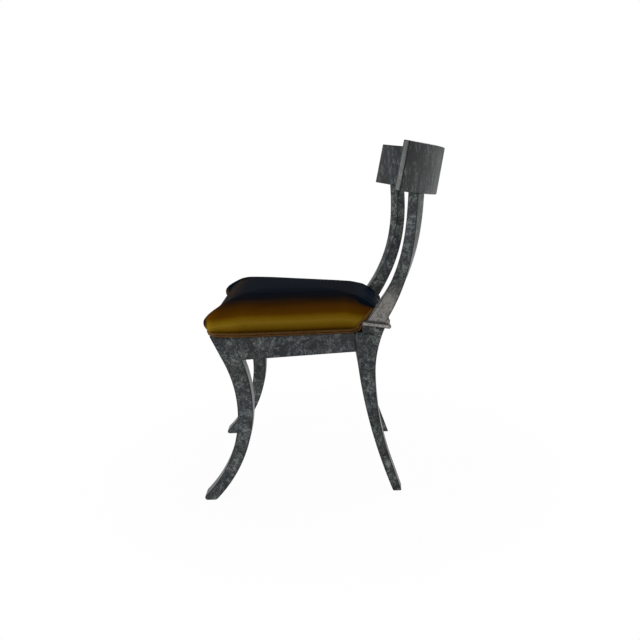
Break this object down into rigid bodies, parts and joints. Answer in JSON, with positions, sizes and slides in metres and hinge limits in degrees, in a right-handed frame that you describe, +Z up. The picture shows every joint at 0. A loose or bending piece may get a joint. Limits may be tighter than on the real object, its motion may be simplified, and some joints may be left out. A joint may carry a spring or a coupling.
{
  "type": "klismos side chair",
  "caption": "Klismos side chair with sabre legs, twisted stiles swept back under a wide canted crest rail, and a tight crowned satin seat edged with double welt.",
  "frame": {"origin": "centre of the bounding box on the floor plane", "axes": "+Z up, the front of the chair faces -Y, the sitter's left is +X"},
  "size_m": [0.586, 0.6488, 0.8907],
  "materials": {
    "lacquered_wood": "semi-gloss lacquer over a marbled blue-grey painted ground",
    "raw_beech": "planed, unfinished",
    "plywood": "sanded birch plywood",
    "seat_foam": "open-cell upholstery foam",
    "satin": "smooth shot silk satin, dark on top, olive gold on the sides",
    "satin_cord": "satin drawn over cord",
    "cambric": "thin black woven cloth",
    "screw_steel": "bright zinc-plated steel"
  },
  "bodies": {
    "root": {"back_ledge": "lacquered_wood", "back_rail": "lacquered_wood", "block_screws": "screw_steel", "corner_block_front_left": "raw_beech", "corner_block_front_right": "raw_beech", "corner_block_rear_left": "raw_beech", "corner_block_rear_right": "raw_beech", "crest_rail": "lacquered_wood", "double_welt": "satin_cord", "dust_cover": "cambric", "foam_pad": "seat_foam", "front_leg_left": "lacquered_wood", "front_leg_right": "lacquered_wood", "front_rail": "lacquered_wood", "rail_dowels": "raw_beech", "rear_leg_left": "lacquered_wood", "rear_leg_right": "lacquered_wood", "seat_cover": "satin", "seat_deck": "plywood", "seat_screws": "screw_steel", "side_rail_left": "lacquered_wood", "side_rail_right": "lacquered_wood", "stile_left": "lacquered_wood", "stile_right": "lacquered_wood"}
  },
  "joints": []
}
